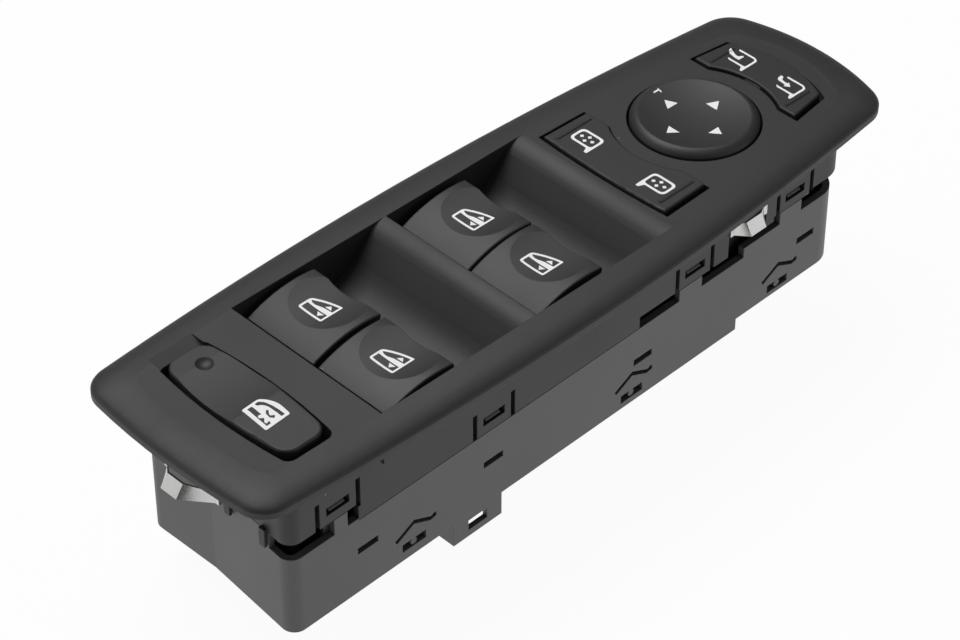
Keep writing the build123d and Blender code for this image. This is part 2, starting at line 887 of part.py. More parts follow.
def lock_button():
    outline = lock_outline(lock_gap, lock_end_gap, lock_corner_radius)
    inside = lock_outline(lock_gap + lock_wall, lock_end_gap + lock_wall, lock_opening_radius)
    body = prism(outline, (lock_top - lock_skirt_depth, lock_top))
    top_edges = body.faces().sort_by(Axis.Z)[-1].edges()
    body = fillet(top_edges, lock_edge_radius)
    hollow_y = lock_centre_y + lock_length / 8
    centre = lock_top - lock_hollow_depth + lock_hollow_radius
    body -= rod_x(around(lock_x, lock_end_width * 2), hollow_y, centre, lock_hollow_radius)
    body -= prism(inside, (lock_top - lock_skirt_depth - 1, lock_roof))
    dimple_z = lock_top + indicator_dimple_radius - lock_hollow_depth - indicator_dimple
    body -= Pos(indicator_x, indicator_y, dimple_z) * Sphere(indicator_dimple_radius)
    for sign in (-1, 1):
        y_span = around(lock_centre_y + sign * stem_spacing / 2, stem_width)
        body += block(around(lock_x, stem_width), y_span, (stem_bottom, lock_roof + root_overlap))
    return body


# Mirror pad, its gimbal and the plungers under the buttons

def pad_dish_line(drop):
    dish = bezel_height + pad_rim_rise - pad_dish_depth
    return ThreePointArc(
        (0, dish - drop),
        (pad_dish_radius / 2, dish - drop + pad_dish_depth * pad_dish_share),
        (pad_dish_radius, bezel_height + pad_rim_rise - drop),
    )


# The pad carries a thin dished disc, which bears the signs
def pad_dish():
    upper = pad_dish_line(0)
    lower = pad_dish_line(pad_dish_thickness)
    section = make_face([upper, Line(upper @ 1, lower @ 1), lower, Line(lower @ 0, upper @ 0)])
    return Pos(pad_x, 0, 0) * revolve(Plane.XZ * section, Axis.Z)


def pad_lug(sign):
    near = gimbal_outer_radius + trunnion_gap
    y_span = sorted((sign * near, sign * (near + lug_thickness)))
    lug = block(around(pad_x, 2 * lug_half_width), y_span, (pad_pivot_height - lug_half_width, pad_roof + root_overlap))
    stub = sorted((sign * (gimbal_inner_radius + trunnion_gap), sign * (near + root_overlap)))
    return lug + rod_y(pad_x, stub, pad_pivot_height, trunnion_radius)


def mirror_pad():
    rim_top = bezel_height + pad_rim_rise
    seat = pad_dish_line(pad_dish_thickness)
    low = -pad_skirt_depth
    edge = (pad_dish_radius, rim_top)
    shoulder = (pad_radius, bezel_height + pad_shoulder_rise)
    section = make_face([
        Line((0, pad_roof), seat @ 0),
        seat,
        Line(seat @ 1, edge),
        ThreePointArc(edge, (pad_rim_radius + pad_rim_round, rim_top - pad_rim_round), shoulder),
        Polyline(
            shoulder,
            (pad_radius, low),
            (pad_radius - pad_wall, low),
            (pad_radius - pad_wall, pad_roof),
            (0, pad_roof),
        ),
    ])
    body = Pos(pad_x, 0, 0) * revolve(Plane.XZ * section, Axis.Z)
    for x, y in ((1, 0), (-1, 0), (0, 1), (0, -1)):
        x_span = around(pad_x + x * pad_foot_reach, mirror_foot_size)
        y_span = around(y * pad_foot_reach, mirror_foot_size)
        body += block(x_span, y_span, (foot_height, pad_roof + root_overlap))
    return body + pad_lug(-1) + pad_lug(1)


def pad_gimbal():
    ring = Cylinder(gimbal_outer_radius, gimbal_height) - Cylinder(gimbal_inner_radius, gimbal_height)
    ring = Pos(pad_x, 0, pad_pivot_height) * ring
    bore = trunnion_radius + running_clearance
    reach = gimbal_outer_radius + 1
    ring -= rod_x((pad_x - reach, pad_x + reach), 0, pad_pivot_height, bore)
    return ring - rod_y(pad_x, (-reach, reach), pad_pivot_height, bore)


def mirror_rocker(outline, post_x, foot_x, foot_y):
    body = prism(outline(mirror_side_gap, mirror_end_gap), (mirror_bottom, mirror_top))
    top_edges = body.faces().sort_by(Axis.Z)[-1].edges()
    body = fillet(top_edges, mirror_edge_radius)
    inside = outline(mirror_side_gap + mirror_rocker_wall, mirror_end_gap + mirror_rocker_wall)
    body -= prism(inside, (mirror_bottom - 1, mirror_top - mirror_rocker_wall))
    for sign in (-1, 1):
        rib_x = post_x + sign * (mirror_post_width / 2 + trunnion_gap + mirror_rocker_rib / 2)
        rib_z = (mirror_pivot_height - lug_half_width, mirror_top - mirror_rocker_wall / 2)
        body += block(around(rib_x, mirror_rocker_rib), around(0, mirror_rib_length), rib_z)
        foot_spans = (around(foot_x, mirror_foot_size), around(sign * foot_y, mirror_foot_size))
        body += block(*foot_spans, (foot_height, mirror_top - mirror_rocker_wall / 2))
    bore = around(post_x, trunnion_span + 2 * trunnion_gap)
    body -= rod_x(bore, 0, mirror_pivot_height, trunnion_radius + running_clearance)
    return body


def end_ridges(x_span, half):
    ridges = []
    for sign in (-1, 1):
        y = sign * (half - mirror_end_gap - ridge_inset)
        ridges.append(rod_x(x_span, y, mirror_top - ridge_sink, ridge_width / 2))
    return ridges


def mirror_select_rocker():
    body = mirror_rocker(select_outline, select_post_x, select_post_x, select_foot_reach)
    return body + end_ridges((select_rear + ridge_end_inset, select_front - ridge_end_inset), select_front_half)


def mirror_fold_rocker():
    body = mirror_rocker(fold_outline, fold_post_x, fold_foot_x, fold_foot_reach)
    return body + end_ridges((fold_rear + ridge_end_inset, fold_front - ridge_end_inset), fold_front_half)


def plunger(x, y):
    head = rod_z(x, y, (plunger_top - plunger_head_height, plunger_top), plunger_head_radius)
    return head + rod_z(x, y, (plunger_bottom, plunger_top), plunger_radius)


# Carrier, board and mat

def axle_cheeks():
    cheeks = []
    for row in row_walls:
        for side in side_signs:
            for sign in (-1, 1):
                y_span = around(rocker_y(row, side) + sign * cheek_offset, cheek_thickness)
                x_span = around(pivot_x(row), 2 * cheek_half_length)
                top = -pivot_depth + cheek_top
                cheeks.append(block(x_span, y_span, (carrier_bottom, top)))
    return cheeks


def trunnion_posts():
    posts = []
    near = gimbal_outer_radius + trunnion_gap
    post_top = pad_pivot_height + trunnion_radius + post_cover
    for sign in (-1, 1):
        x_span = sorted((pad_x + sign * near, pad_x + sign * (near + mirror_post_width)))
        posts.append(block(x_span, around(0, 2 * lug_half_width), (carrier_bottom, post_top)))
        stub = sorted((pad_x + sign * (gimbal_inner_radius + trunnion_gap), pad_x + sign * (near + root_overlap)))
        posts.append(rod_x(stub, 0, pad_pivot_height, trunnion_radius))
    for x in (select_post_x, fold_post_x):
        spans = (around(x, mirror_post_width), around(0, mirror_post_length))
        posts.append(block(*spans, (carrier_bottom, mirror_post_top)))
        posts.append(rod_x(around(x, trunnion_span), 0, mirror_pivot_height, trunnion_radius))
    return posts


def carrier_legs():
    legs = []
    for x, y in leg_places:
        legs.append(block(around(x, leg_size), around(y, leg_size), (board_top, carrier_top)))
        legs.append(rod_z(x, y, (board_top - board_thickness, board_top), peg_radius))
    return legs


def plunger_carrier():
    x_span = (carrier_rear, carrier_front)
    body = block(x_span, (-carrier_half_width, carrier_half_width), (carrier_bottom, carrier_top))
    rim_inside = block((carrier_rear + carrier_wall, carrier_front - carrier_wall),
                       (-carrier_half_width + carrier_wall, carrier_half_width - carrier_wall),
                       (carrier_wall_foot - 1, carrier_bottom))
    rim = block(x_span, (-carrier_half_width, carrier_half_width), (carrier_wall_foot, carrier_bottom))
    body = body + (rim - rim_inside) + axle_cheeks() + trunnion_posts() + carrier_legs()
    for x, y in plunger_places().values():
        body += rod_z(x, y, (carrier_top - guide_length, carrier_top), guide_radius)
    for x, y in plunger_places().values():
        body -= rod_z(x, y, (carrier_top - guide_length - 1, carrier_top + 1), plunger_radius + guide_clearance)
    for row in row_walls:
        bore = axle_radius + running_clearance
        body -= rod_y(pivot_x(row), (-far_aside, far_aside), -pivot_depth, bore)
    for sign in (-1, 1):
        stem_y = lock_centre_y + sign * stem_spacing / 2
        size = stem_width + 4 * guide_clearance
        body -= block(around(lock_x, size), around(stem_y, size), (carrier_bottom - 1, carrier_top + 1))
    guide_bore = light_guide_radius + guide_clearance
    body -= rod_z(indicator_x, indicator_y, (carrier_bottom - 1, carrier_top + 1), guide_bore)
    for x, y in screw_places:
        body -= rod_z(x, y, (carrier_bottom - 1, carrier_top + 1), screw_radius + running_clearance)
    return body


def circuit_board():
    board = block((board_rear, board_front), (-board_half_width, board_half_width),
                  (board_top - board_thickness, board_top))
    for x, y in leg_places:
        board -= rod_z(x, y, (board_top - board_thickness - 1, board_top + 1), peg_radius + running_clearance)
    return board


def contact_mat():
    start = board_rear + mat_rear_inset
    z_span = (board_top, board_top + mat_thickness)
    sheet = block((start, board_front - fit_gap), (-mat_half_width, mat_half_width), z_span)
    sheet += block((board_rear + fit_gap, start + 1), around(lock_centre_y, mat_tail_width), z_span)
    spots = list(plunger_places().values())
    spots += [(lock_x, lock_centre_y + sign * stem_spacing / 2) for sign in (-1, 1)]
    for x, y in spots:
        dome = Cone(dome_radius, dome_top_radius, dome_height)
        sheet += Pos(x, y, dome_top - dome_height / 2) * dome
    for x, y in leg_places:
        size = leg_size + 2 * fit_gap
        sheet -= block(around(x, size), around(y, size), (board_top - 1, dome_top))
    chip_gap = chip_size + 2 * running_gap
    return sheet - block(around(chip_x, chip_gap), around(0, chip_gap), (board_top - 1, dome_top))


def control_chip():
    return block(around(chip_x, chip_size), around(0, chip_size), (board_top, board_top + chip_height))


def indicator_lamp():
    spans = (around(indicator_x, lamp_size), around(indicator_y, lamp_size))
    return block(*spans, (board_top, board_top + lamp_height))


def light_guide():
    return rod_z(indicator_x, indicator_y, (board_top + lamp_height, light_guide_top), light_guide_radius)


def connector_header():
    near, far = shroud_span()
    gap = shroud_wall + header_gap
    x_span = (shroud_rear + gap + header_shift, shroud_front - gap + header_shift)
    y_span = (near + gap + housing_offset, far - gap + housing_offset)
    return block(x_span, y_span, (header_bottom, board_top - board_thickness)) - pins(running_clearance)


def pins(margin):
    near, far = shroud_span()
    middle_x = (shroud_rear + shroud_front) / 2 + header_shift
    middle_y = (near + far) / 2 + housing_offset
    size = pin_size + 2 * margin
    made = []
    for column in range(pin_columns):
        for line in range(pin_rows):
            x = middle_x + (column - (pin_columns - 1) / 2) * pin_pitch
            y = middle_y + (line - (pin_rows - 1) / 2) * pin_pitch * 2
            made.append(block(around(x, size), around(y, size), (pin_tip, board_top - board_thickness)))
    return made


def connector_pins():
    return Compound(children=pins(0))


# Spring clips: a bowed steel strip whose tooth leans out towards its lower edge

def clip_outline(length, reach, shift):
    half, tooth = length / 2, tooth_length / 2
    foot = half - clip_foot
    leg = half - clip_thickness
    return make_face(Polyline(
        (-half, -clip_leg),
        (-half, clip_thickness),
        (-foot, clip_thickness),
        (shift - tooth, reach + clip_thickness),
        (shift + tooth, reach + clip_thickness),
        (foot, clip_thickness),
        (half, clip_thickness),
        (half, -clip_leg),
        (leg, -clip_leg),
        (leg, 0),
        (foot, 0),
        (shift + tooth, reach),
        (shift - tooth, reach),
        (-foot, 0),
        (-leg, 0),
        (-leg, -clip_leg),
        close=True,
    ))


def spring_clip(length, reaches, shift):
    low_reach, high_reach = reaches
    low = clip_outline(length, low_reach, shift)
    high = Pos(0, 0, clip_height) * clip_outline(length, high_reach, shift)
    return loft([low, high], ruled=True)


def end_clip():
    clip = spring_clip(end_clip_length, end_tooth_reach, end_tooth_shift)
    return levelled(Pos(housing_rear_kink - end_clip_gap, end_clip_y, end_clip_height) * Rot(0, 0, 90) * clip)


def side_clip(sign):
    turn = 180 if sign < 0 else 0
    place = Pos(side_clip_x, sign * housing_half_width, side_clip_height)
    return levelled(place * Rot(0, 0, turn) * spring_clip(side_clip_length, side_tooth_reach, 0))


def carrier_screws():
    screws = []
    for x, y in screw_places:
        head = rod_z(x, y, (carrier_bottom - screw_head_height, carrier_bottom), screw_head_radius)
        shank = rod_z(x, y, (carrier_bottom, carrier_bottom + screw_length), screw_radius)
        head_low = carrier_bottom - screw_head_height
        slot_spans = (around(x, 2 * screw_radius), around(y, screw_slot_width))
        slot = block(*slot_spans, (head_low, head_low + screw_slot_depth))
        screws.append(head + shank - slot)
    return Compound(children=screws)


def all_nodes():
    nodes = {
        "bezel": bezel(),
        "housing": housing(),
        "base_cover": base_cover(),
        "plunger_carrier": plunger_carrier(),
        "circuit_board": circuit_board(),
        "contact_mat": contact_mat(),
        "control_chip": control_chip(),
        "indicator_lamp": indicator_lamp(),
        "light_guide": light_guide(),
        "connector_header": connector_header(),
        "connector_pins": connector_pins(),
        "carrier_screws": carrier_screws(),
        "end_spring_clip": end_clip(),
        "near_spring_clip": side_clip(-1),
        "far_spring_clip": side_clip(1),
        "lock_button": lock_button(),
        "mirror_pad": mirror_pad(),
        "pad_dish": pad_dish(),
        "pad_gimbal": pad_gimbal(),
        "mirror_select_rocker": mirror_select_rocker(),
        "mirror_fold_rocker": mirror_fold_rocker(),
    }
    for row in row_walls:
        nodes[f"{row}_rocker_axle"] = rocker_axle(row)
        for side in side_signs:
            nodes[f"{row}_{side}_window_rocker"] = window_rocker(row, side)
    for name, (x, y) in plunger_places().items():
        nodes[name] = plunger(x, y)
    return nodes


os.makedirs("parts", exist_ok=True)
for name, shape in all_nodes().items():
    export_step(shape, f"parts/{name}.step")
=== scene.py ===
import bmesh
import bpy
import math
from mathutils import Matrix, Vector
from mathutils.bvhtree import BVHTree


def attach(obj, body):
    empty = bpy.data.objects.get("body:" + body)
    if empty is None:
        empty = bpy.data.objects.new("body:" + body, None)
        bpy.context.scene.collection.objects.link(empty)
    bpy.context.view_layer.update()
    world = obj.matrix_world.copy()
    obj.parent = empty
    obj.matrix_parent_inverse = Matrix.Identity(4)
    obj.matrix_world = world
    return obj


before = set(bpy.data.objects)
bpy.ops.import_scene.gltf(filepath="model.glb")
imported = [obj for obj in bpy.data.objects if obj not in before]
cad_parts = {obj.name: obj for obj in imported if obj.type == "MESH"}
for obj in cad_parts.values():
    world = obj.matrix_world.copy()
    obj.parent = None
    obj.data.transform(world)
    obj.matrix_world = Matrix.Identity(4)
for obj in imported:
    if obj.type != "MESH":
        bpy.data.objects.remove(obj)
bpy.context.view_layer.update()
print("frame loaded:", len(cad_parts), "CAD nodes")

mm = 0.001
scene = bpy.context.scene
scene.view_settings.view_transform = "Standard"


# node helpers, used by every material

def addNode(tree, kind, inputs=None, **values):
    node = tree.nodes.new(kind)
    for key, value in values.items():
        setattr(node, key, value)
    for key, value in (inputs or {}).items():
        node.inputs[key].default_value = value
    return node


def newGroup(name, inputs, outputs):
    group = bpy.data.node_groups.new(name, "ShaderNodeTree")
    for label, value in inputs.items():
        socket = group.interface.new_socket(name=label, in_out="INPUT", socket_type="NodeSocketFloat")
        socket.default_value = value
    for label in outputs:
        group.interface.new_socket(name=label, in_out="OUTPUT", socket_type="NodeSocketFloat")
    return group, addNode(group, "NodeGroupInput"), addNode(group, "NodeGroupOutput")


def makeMouldGrain():
    # fine spark-eroded grain plus the slow tone drift of a large moulding
    inputs = {"Cells per metre": 2600.0, "Drift per metre": 28.0}
    cellSmoothness, cellShare = 0.7, 0.6
    group, given, made = newGroup("mouldGrain", inputs, ["Height", "Drift"])
    place = addNode(group, "ShaderNodeTexCoord")
    fine = addNode(group, "ShaderNodeTexNoise", {"Detail": 3.0, "Roughness": 0.62})
    cells = addNode(group, "ShaderNodeTexVoronoi", {"Smoothness": cellSmoothness}, feature="SMOOTH_F1")
    slow = addNode(group, "ShaderNodeTexNoise", {"Detail": 4.0, "Roughness": 0.55})
    mixed = addNode(group, "ShaderNodeMath", {1: cellShare}, operation="MULTIPLY_ADD")
    link = group.links.new
    for tex in (fine, cells, slow):
        link(place.outputs["Object"], tex.inputs["Vector"])
    link(given.outputs["Cells per metre"], fine.inputs["Scale"])
    link(given.outputs["Cells per metre"], cells.inputs["Scale"])
    link(given.outputs["Drift per metre"], slow.inputs["Scale"])
    link(cells.outputs["Distance"], mixed.inputs[0])
    link(fine.outputs["Fac"], mixed.inputs[2])
    link(mixed.outputs[0], made.inputs["Height"])
    link(slow.outputs["Fac"], made.inputs["Drift"])
    return group


def makeDustSpecks():
    # a few pale specks, some fainter than others
    inputs = {"Cells per metre": 260.0, "Size": 0.07, "Share": 0.12}
    group, given, made = newGroup("dustSpecks", inputs, ["Mask"])
    place = addNode(group, "ShaderNodeTexCoord")
    cells = addNode(group, "ShaderNodeTexVoronoi", feature="F1")
    spot = addNode(group, "ShaderNodeMath", operation="LESS_THAN")
    split = addNode(group, "ShaderNodeSeparateColor")
    chosen = addNode(group, "ShaderNodeMath", operation="LESS_THAN")
    both = addNode(group, "ShaderNodeMath", operation="MULTIPLY")
    faint = addNode(group, "ShaderNodeMath", operation="MULTIPLY")
    link = group.links.new
    link(place.outputs["Object"], cells.inputs["Vector"])
    link(given.outputs["Cells per metre"], cells.inputs["Scale"])
    link(cells.outputs["Distance"], spot.inputs[0])
    link(given.outputs["Size"], spot.inputs[1])
    link(cells.outputs["Color"], split.inputs["Color"])
    link(split.outputs["Red"], chosen.inputs[0])
    link(given.outputs["Share"], chosen.inputs[1])
    link(spot.outputs[0], both.inputs[0])
    link(chosen.outputs[0], both.inputs[1])
    link(both.outputs[0], faint.inputs[0])
    link(split.outputs["Green"], faint.inputs[1])
    link(faint.outputs[0], made.inputs["Mask"])
    return group


def makePaintedEdgeHighlight():
    # 1 along an edge, where the rounded normal leans away from the flat one; this marks where a painted
    # highlight goes
    lean = {"From Min": 0.995, "From Max": 0.90, "To Min": 0.0, "To Max": 1.0}
    group, given, made = newGroup("paintedEdgeHighlight", {"Radius": 0.0004}, ["Mask"])
    bevel = addNode(group, "ShaderNodeBevel", samples=4)
    flat = addNode(group, "ShaderNodeNewGeometry")
    dot = addNode(group, "ShaderNodeVectorMath", operation="DOT_PRODUCT")
    spread = addNode(group, "ShaderNodeMapRange", lean)
    link = group.links.new
    link(given.outputs["Radius"], bevel.inputs["Radius"])
    link(bevel.outputs["Normal"], dot.inputs[0])
    link(flat.outputs["Normal"], dot.inputs[1])
    link(dot.outputs["Value"], spread.inputs["Value"])
    link(spread.outputs["Result"], made.inputs["Mask"])
    return group


def makeBrushLines():
    # drawn lines of rolled or ground steel, long in one direction
    inputs = {"Lines per metre": 9000.0, "Stretch": 0.04}
    group, given, made = newGroup("brushLines", inputs, ["Lines"])
    place = addNode(group, "ShaderNodeTexCoord")
    squeeze = addNode(group, "ShaderNodeCombineXYZ", {"Y": 1.0, "Z": 1.0})
    stretched = addNode(group, "ShaderNodeVectorMath", operation="MULTIPLY")
    noise = addNode(group, "ShaderNodeTexNoise", {"Detail": 2.0})
    link = group.links.new
    link(given.outputs["Stretch"], squeeze.inputs["X"])
    link(place.outputs["Object"], stretched.inputs[0])
    link(squeeze.outputs["Vector"], stretched.inputs[1])
    link(stretched.outputs["Vector"], noise.inputs["Vector"])
    link(given.outputs["Lines per metre"], noise.inputs["Scale"])
    link(noise.outputs["Fac"], made.inputs["Lines"])
    return group


groups = {
    "grain": makeMouldGrain(),
    "dust": makeDustSpecks(),
    "edgeHighlight": makePaintedEdgeHighlight(),
    "brush": makeBrushLines(),
}
print("shared node groups made")


def useGroup(tree, key, values=None):
    node = tree.nodes.new("ShaderNodeGroup")
    node.node_tree = groups[key]
    for label, value in (values or {}).items():
        node.inputs[label].default_value = value
    return node


def blankMaterial(name):
    material = bpy.data.materials.new(name)
    material.use_nodes = True
    tree = material.node_tree
    return material, tree, tree.nodes["Principled BSDF"]


noiseRange = {"From Min": 0.3, "From Max": 0.7}  # where the noises have most of their values


def rampBetween(tree, value, low, high):
    ramp = addNode(tree, "ShaderNodeMapRange", {**noiseRange, "To Min": low, "To Max": high})
    tree.links.new(value, ramp.inputs["Value"])
    return ramp.outputs["Result"]


# the mix node's sockets for colours, which share their names with those for numbers
colorSockets = {"factor": 0, "first": 6, "second": 7, "result": 2}


def mixColor(tree, factor, first, second):
    # factor is a socket; each colour is a socket or three numbers
    mix = addNode(tree, "ShaderNodeMix", data_type="RGBA")
    tree.links.new(factor, mix.inputs[colorSockets["factor"]])
    for key, value in (("first", first), ("second", second)):
        socket = mix.inputs[colorSockets[key]]
        if hasattr(value, "links"):
            tree.links.new(value, socket)
        else:
            socket.default_value = (*value, 1)
    return mix.outputs[colorSockets["result"]]


def scaled(tree, value, amount):
    times = addNode(tree, "ShaderNodeMath", {1: amount}, operation="MULTIPLY")
    tree.links.new(value, times.inputs[0])
    return times.outputs[0]


# what all moulded plastics share
moulding = {"grainDepth": 0.00004, "index": 1.49, "dustStrength": 0.5, "dustTone": (0.42, 0.42, 0.41)}


def mouldedPlastic(name, look):
    material, tree, shader = blankMaterial(name)
    grain = useGroup(tree, "grain", {"Cells per metre": look["cells"], "Drift per metre": look["drift"]})
    edgeHighlight = useGroup(tree, "edgeHighlight", {"Radius": look["edge"]})
    dust = useGroup(tree, "dust", {"Share": look["dust"]})
    body = mixColor(tree, grain.outputs["Drift"], look["dark"], look["pale"])
    # painted highlight: along edges the colour is mixed towards the paler edge tone; on the circuit board the
    # yellowish edge tone is also its laminate's own colour
    edgeHighlighted = mixColor(tree, scaled(tree, edgeHighlight.outputs["Mask"], look["highlightShare"]), body, look["edgeTone"])
    dustMask = scaled(tree, dust.outputs["Mask"], moulding["dustStrength"])
    dusty = mixColor(tree, dustMask, edgeHighlighted, moulding["dustTone"])
    tree.links.new(dusty, shader.inputs["Base Color"])
    tree.links.new(rampBetween(tree, grain.outputs["Drift"], *look["roughness"]), shader.inputs["Roughness"])
    bevel = addNode(tree, "ShaderNodeBevel", {"Radius": look["edge"]}, samples=4)
    bump = addNode(tree, "ShaderNodeBump", {"Strength": look["grain"], "Distance": moulding["grainDepth"]})
    tree.links.new(grain.outputs["Height"], bump.inputs["Height"])
    tree.links.new(bevel.outputs["Normal"], bump.inputs["Normal"])
    tree.links.new(bump.outputs["Normal"], shader.inputs["Normal"])
    shader.inputs["IOR"].default_value = moulding["index"]
    return material


# what all bright metals share
metal = {"cells": 900.0, "drift": 140.0, "lineDepth": 0.00002}


def brightSteel(name, look):
    material, tree, shader = blankMaterial(name)
    brush = useGroup(tree, "brush", {"Lines per metre": look["lines"]})
    grain = useGroup(tree, "grain", {"Cells per metre": metal["cells"], "Drift per metre": metal["drift"]})
    tone = mixColor(tree, grain.outputs["Drift"], look["dark"], look["pale"])
    tree.links.new(tone, shader.inputs["Base Color"])
    tree.links.new(rampBetween(tree, brush.outputs["Lines"], *look["roughness"]), shader.inputs["Roughness"])
    bump = addNode(tree, "ShaderNodeBump", {"Strength": look["depth"], "Distance": metal["lineDepth"]})
    tree.links.new(brush.outputs["Lines"], bump.inputs["Height"])
    tree.links.new(bump.outputs["Normal"], shader.inputs["Normal"])
    shader.inputs["Metallic"].default_value = 1.0
    return material


def clearResin(name, look):
    material, tree, shader = blankMaterial(name)
    grain = useGroup(tree, "grain", {"Cells per metre": look["cells"], "Drift per metre": look["drift"]})
    tone = mixColor(tree, grain.outputs["Drift"], look["dark"], look["pale"])
    tree.links.new(tone, shader.inputs["Base Color"])
    tree.links.new(rampBetween(tree, grain.outputs["Drift"], *look["roughness"]), shader.inputs["Roughness"])
    shader.inputs["Transmission Weight"].default_value = look["clear"]
    return material


# finishes of the CAD nodes

def grey(level):
    return (level, level, level)


# edgeTone and its share set the painted edge highlight
plasticLook = {
    "cells": 2600.0, "drift": 26.0, "grain": 0.35, "roughness": (0.50, 0.60),
    "dark": (0.019, 0.019, 0.0194), "pale": (0.026, 0.026, 0.0264),
    "edge": 0.0003, "edgeTone": grey(0.046), "highlightShare": 0.25, "dust": 0.05,
}
capLook = {**plasticLook, "cells": 3800.0, "grain": 0.15, "roughness": (0.46, 0.54), "dust": 0.04}

finishes = {
    "bezelPlastic": (["bezel"], mouldedPlastic, plasticLook),
    "rockerPlastic": (
        [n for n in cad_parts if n.endswith("window_rocker")], mouldedPlastic,
        {**capLook, "dark": grey(0.018), "pale": grey(0.026)},
    ),
    "buttonPlastic": (
        ["lock_button", "mirror_select_rocker", "mirror_fold_rocker"], mouldedPlastic,
        {**capLook, "dark": grey(0.014), "pale": grey(0.021)},
    ),
    "padPlastic": (
        ["mirror_pad", "pad_dish"], mouldedPlastic,
        {**plasticLook, "cells": 3400.0, "grain": 0.2, "roughness": (0.44, 0.52)},
    ),
    "housingPlastic": (
        ["housing", "base_cover"], mouldedPlastic,
        {**plasticLook, "cells": 1500.0, "grain": 0.12, "dark": grey(0.074), "pale": grey(0.092),
         "roughness": (0.42, 0.52), "edgeTone": grey(0.11), "highlightShare": 0.4, "dust": 0.08},
    ),
    "carrierPlastic": (
        ["plunger_carrier", "pad_gimbal", "connector_header"], mouldedPlastic,
        {**plasticLook, "cells": 1800.0, "grain": 0.15, "dark": grey(0.020), "pale": grey(0.028)},
    ),
    "plungerPlastic": (
        [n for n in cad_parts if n.endswith("_plunger")], mouldedPlastic,
        {**plasticLook, "cells": 2400.0, "grain": 0.1, "dark": (0.52, 0.51, 0.47), "pale": (0.62, 0.60, 0.55),
         "edgeTone": (0.7, 0.68, 0.63), "roughness": (0.40, 0.5)},
    ),
    "boardLaminate": (
        ["circuit_board"], mouldedPlastic,
        {**plasticLook, "cells": 1400.0, "grain": 0.2, "roughness": (0.3, 0.4),
         "dark": (0.012, 0.075, 0.03), "pale": (0.02, 0.11, 0.045), "edgeTone": (0.25, 0.24, 0.13)},
    ),
    "matRubber": (
        ["contact_mat"], mouldedPlastic,
        {**plasticLook, "cells": 2100.0, "grain": 0.3, "dark": (0.28, 0.29, 0.31), "pale": (0.36, 0.37, 0.39),
         "edgeTone": (0.4, 0.41, 0.43), "roughness": (0.7, 0.8)},
    ),
    "chipResin": (
        ["control_chip"], mouldedPlastic,
        {**plasticLook, "cells": 3000.0, "grain": 0.5, "dark": grey(0.012), "pale": grey(0.018),
         "roughness": (0.6, 0.7)},
    ),
    "springSteel": (
        ["end_spring_clip", "near_spring_clip", "far_spring_clip"], brightSteel,
        {"lines": 9000.0, "depth": 0.25, "dark": (0.50, 0.50, 0.49), "pale": (0.66, 0.66, 0.65),
         "roughness": (0.2, 0.34)},
    ),
    "axleSteel": (
        ["rear_rocker_axle", "front_rocker_axle", "carrier_screws"], brightSteel,
        {"lines": 7000.0, "depth": 0.2, "dark": (0.45, 0.45, 0.44), "pale": (0.56, 0.56, 0.55),
         "roughness": (0.3, 0.42)},
    ),
    "pinTin": (
        ["connector_pins"], brightSteel,
        {"lines": 6000.0, "depth": 0.2, "dark": (0.70, 0.66, 0.50), "pale": (0.80, 0.77, 0.64),
         "roughness": (0.25, 0.35)},
    ),
    "guideResin": (
        ["light_guide", "indicator_lamp"], clearResin,
        {"cells": 1200.0, "drift": 90.0, "dark": (0.80, 0.81, 0.82), "pale": (0.9, 0.9, 0.9),
         "roughness": (0.08, 0.18), "clear": 0.7},
    ),
}

for finishName, (nodeNames, maker, look) in finishes.items():
    finish = maker(finishName, look)
    for nodeName in nodeNames:
        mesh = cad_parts[nodeName].data
        mesh.materials.clear()
        mesh.materials.append(finish)
print("finishes given to the CAD nodes")


# printed signs: thin ink that lies on the curved caps; lengths in mm

signInk = {
    "thickness": 0.03, "lift": 0.012, "cut": 0.45, "weld": 0.0001, "castFrom": 50.0,
    "dark": (0.90, 0.90, 0.89), "pale": (0.95, 0.95, 0.94), "roughness": (0.45, 0.6),
    "cells": 3000.0, "drift": 420.0,
}


def makeInk():
    material, tree, shader = blankMaterial("signInk")
    sizes = {"Cells per metre": signInk["cells"], "Drift per metre": signInk["drift"]}
    grain = useGroup(tree, "grain", sizes)
    tone = mixColor(tree, grain.outputs["Drift"], signInk["dark"], signInk["pale"])
    tree.links.new(tone, shader.inputs["Base Color"])
    roughness = rampBetween(tree, grain.outputs["Height"], *signInk["roughness"])
    tree.links.new(roughness, shader.inputs["Roughness"])
    return material


ink = makeInk()


# the steps of each corner's arc, and the most of an edge that it may take up
corners = {"steps": 4, "mostOfEdge": 0.49}


def roundedLoop(points, radius=0.0):
    # a closed outline whose corners are turned into short arcs; a point may carry its own radius
    made = []
    for i, point in enumerate(points):
        here = Vector(point[:2])
        before, after = Vector(points[i - 1][:2]), Vector(points[(i + 1) % len(points)][:2])
        turn = point[2] if len(point) > 2 else radius
        mostOfEdge = min((before - here).length, (after - here).length) * corners["mostOfEdge"]
        reach = min(turn, mostOfEdge)
        start = here + (before - here).normalized() * reach
        end = here + (after - here).normalized() * reach
        for step in range(corners["steps"] + 1):
            t = step / corners["steps"]
            made.append(start * (1 - t) ** 2 + here * 2 * t * (1 - t) + end * t ** 2)
    return made


